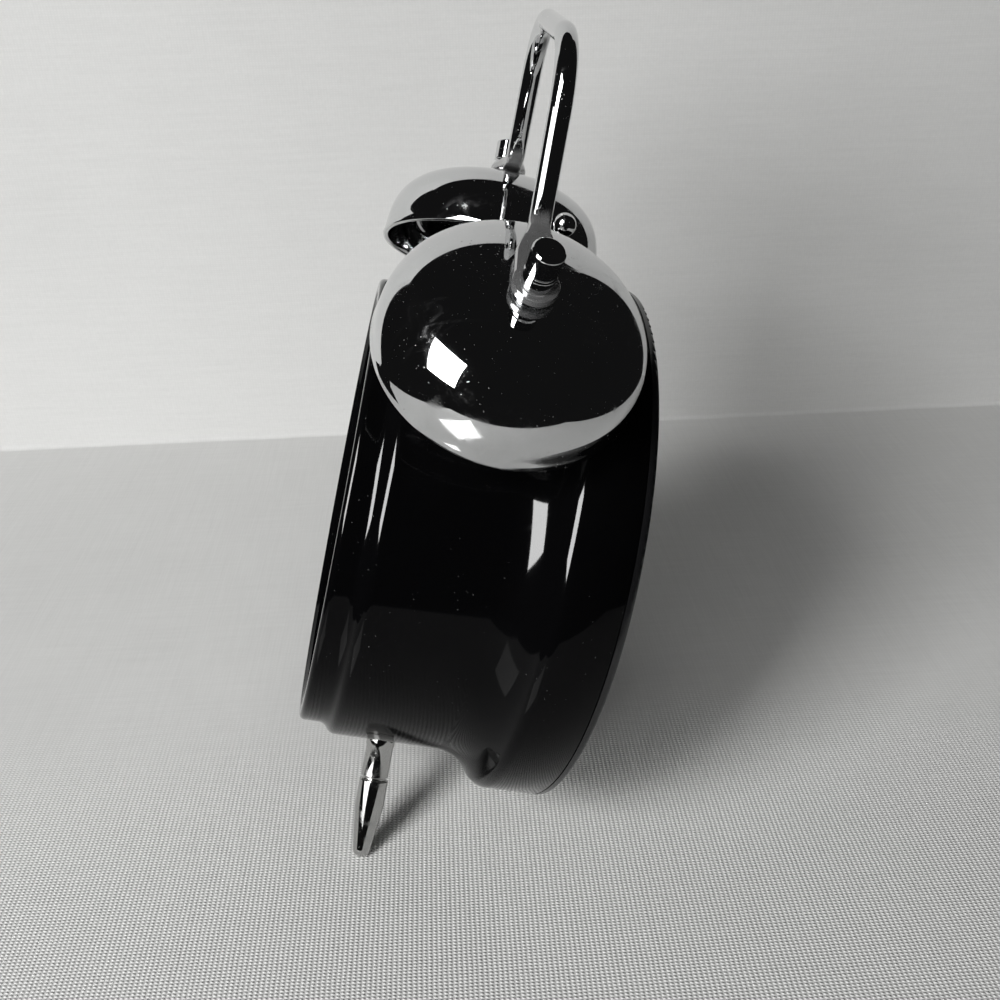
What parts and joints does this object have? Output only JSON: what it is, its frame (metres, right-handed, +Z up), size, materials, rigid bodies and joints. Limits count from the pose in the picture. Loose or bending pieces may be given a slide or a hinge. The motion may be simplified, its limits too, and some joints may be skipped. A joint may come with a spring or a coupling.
{
  "type": "twin bell alarm clock",
  "caption": "Twin bell alarm clock: leaning stepped round case, domed bells with a hammer between them, arched carrying handle, turned front legs, battery movement inside.",
  "frame": {"origin": "on the table, under the middle of the clock's bounding box", "axes": "+Z up, -Y the way the dial looks, +X to the right as seen from the front"},
  "size_m": [0.0994, 0.068, 0.1428],
  "materials": {
    "case_black": "gloss black enamel",
    "cover_black": "gloss",
    "plated": "mirror-bright plating",
    "steel": "zinc-plated",
    "clear": "clear",
    "white_ring": "satin white",
    "dial_face": "matt printed",
    "hands_black": "satin black",
    "alarm_hand_red": "satin",
    "black_plastic": "satin",
    "movement_plastic": "satin",
    "wheel_plastic": "satin natural",
    "brass_bright": "bright",
    "copper_winding": "enamelled wire",
    "board_green": "solder mask",
    "cell_jacket": "plain printed jacket"
  },
  "bodies": {
    "case": {"case_shell": "case_black", "front_bezel": "case_black", "lens": "clear", "reflector_ring": "white_ring", "dial": "dial_face", "dial_retainer": "steel", "dial_nut": "brass_bright", "back_cover": "cover_black", "cover_screws": "steel", "battery_cell": "cell_jacket", "battery_contact_positive": "steel", "battery_contact_negative": "steel", "leg_right": "plated", "leg_left": "plated", "stud_nuts": "steel", "bell_right": "plated", "bell_left": "plated", "bell_post_right": "plated", "bell_post_left": "plated", "bell_washers": "plated", "cap_nut_right": "plated", "cap_nut_left": "plated", "handle": "plated", "movement_front": "movement_plastic", "middle_plate": "movement_plastic", "movement_rear": "movement_plastic", "stator": "steel", "coil_core": "steel", "coil_bobbin": "wheel_plastic", "coil_winding": "copper_winding", "circuit_board": "board_green", "quartz_crystal": "steel", "hammer_pivot": "steel", "ringer_bracket": "steel", "ringer_axle": "steel", "alarm_motor": "steel"},
    "seconds": {"second_hand": "hands_black", "seconds_wheel": "wheel_plastic"},
    "third": {"third_wheel": "wheel_plastic"},
    "centre": {"centre_wheel": "wheel_plastic"},
    "step": {"step_wheel": "wheel_plastic"},
    "rotor": {"rotor": "steel"},
    "minute": {"minute_hand": "hands_black", "minute_arbor": "brass_bright"},
    "minute_work": {"minute_wheel": "wheel_plastic"},
    "hour": {"hour_hand": "hands_black", "hour_wheel": "wheel_plastic"},
    "time_setting": {"time_knob": "black_plastic", "time_shaft": "brass_bright"},
    "alarm_setting": {"alarm_knob": "black_plastic", "alarm_shaft": "brass_bright"},
    "alarm_pointer": {"alarm_hand": "alarm_hand_red", "alarm_wheel": "wheel_plastic"},
    "ringer": {"ringer_gear": "wheel_plastic"},
    "motor": {"motor_pinion": "brass_bright"},
    "hammer": {"hammer_lever": "steel", "hammer_rod": "steel", "hammer_ball": "plated"},
    "switch": {"alarm_switch": "black_plastic"},
    "door": {"battery_door": "black_plastic"}
  },
  "joints": [
    {"name": "seconds_spin", "type": "hinge", "parent": "case", "child": "seconds", "pos_m": [0, -0.00412, 0.05467], "axis": [0, 0.965, -0.2622], "continuous": true},
    {"name": "step_spin", "type": "hinge", "parent": "case", "child": "step", "pos_m": [0.006, -0.00395, 0.04386], "axis": [0, 0.965, -0.2622], "continuous": true},
    {"name": "rotor_spin", "type": "hinge", "parent": "case", "child": "rotor", "pos_m": [0.01752, -0.00545, 0.04216], "axis": [0, 0.965, -0.2622], "continuous": true},
    {"name": "third_spin", "type": "hinge", "parent": "case", "child": "third", "pos_m": [0, -0.00014, 0.06551], "axis": [0, 0.965, -0.2622], "continuous": true},
    {"name": "centre_spin", "type": "hinge", "parent": "case", "child": "centre", "pos_m": [0, -0.00451, 0.05478], "axis": [0, 0.965, -0.2622], "continuous": true},
    {"name": "time_setting_spin", "type": "hinge", "parent": "case", "child": "time_setting", "pos_m": [-0.01299, 0.01908, 0.05614], "axis": [0, 0.965, -0.2622], "continuous": true},
    {"name": "minute_spin", "type": "hinge", "parent": "case", "child": "minute", "pos_m": [0, -0.00991, 0.05624], "axis": [0, 0.965, -0.2622], "continuous": true},
    {"name": "minute_work_spin", "type": "hinge", "parent": "case", "child": "minute_work", "pos_m": [-0.0115, -0.00927, 0.05098], "axis": [0, 0.965, -0.2622], "continuous": true},
    {"name": "hour_spin", "type": "hinge", "parent": "case", "child": "hour", "pos_m": [0, -0.01087, 0.05651], "axis": [0, 0.965, -0.2622], "continuous": true},
    {"name": "alarm_setting_spin", "type": "hinge", "parent": "case", "child": "alarm_setting", "pos_m": [0.01299, 0.01908, 0.05614], "axis": [0, 0.965, -0.2622], "continuous": true},
    {"name": "alarm_pointer_spin", "type": "hinge", "parent": "case", "child": "alarm_pointer", "pos_m": [0, -0.01184, 0.05677], "axis": [0, 0.965, -0.2622], "continuous": true},
    {"name": "ringer_spin", "type": "hinge", "parent": "case", "child": "ringer", "pos_m": [0, 0.01022, 0.06321], "axis": [0, 0.965, -0.2622], "continuous": true},
    {"name": "motor_spin", "type": "hinge", "parent": "case", "child": "motor", "pos_m": [0, 0.01459, 0.07394], "axis": [0, 0.965, -0.2622], "continuous": true},
    {"name": "hammer_swing", "type": "hinge", "parent": "case", "child": "hammer", "pos_m": [0, 0.01038, 0.0756], "axis": [0, 0.965, -0.2622], "range_deg": [-14.5, 14.5]},
    {"name": "switch_slide", "type": "slide", "parent": "case", "child": "switch", "axis": [1, 0, 0], "range_m": [0, 0.005]},
    {"name": "door_pull", "type": "slide", "parent": "case", "child": "door", "axis": [0, 0.965, -0.2622], "range_m": [0, 0.02]}
  ],
  "couplings": [
    {"joint": "step_spin", "follows": "seconds_spin", "ratio": -5},
    {"joint": "rotor_spin", "follows": "seconds_spin", "ratio": 30},
    {"joint": "third_spin", "follows": "seconds_spin", "ratio": -0.125},
    {"joint": "centre_spin", "follows": "seconds_spin", "ratio": 0.016667},
    {"joint": "minute_spin", "follows": "time_setting_spin", "ratio": 1},
    {"joint": "minute_work_spin", "follows": "time_setting_spin", "ratio": -0.33333},
    {"joint": "hour_spin", "follows": "time_setting_spin", "ratio": 0.083333},
    {"joint": "alarm_pointer_spin", "follows": "alarm_setting_spin", "ratio": -0.25},
    {"joint": "motor_spin", "follows": "ringer_spin", "ratio": -3.6}
  ]
}
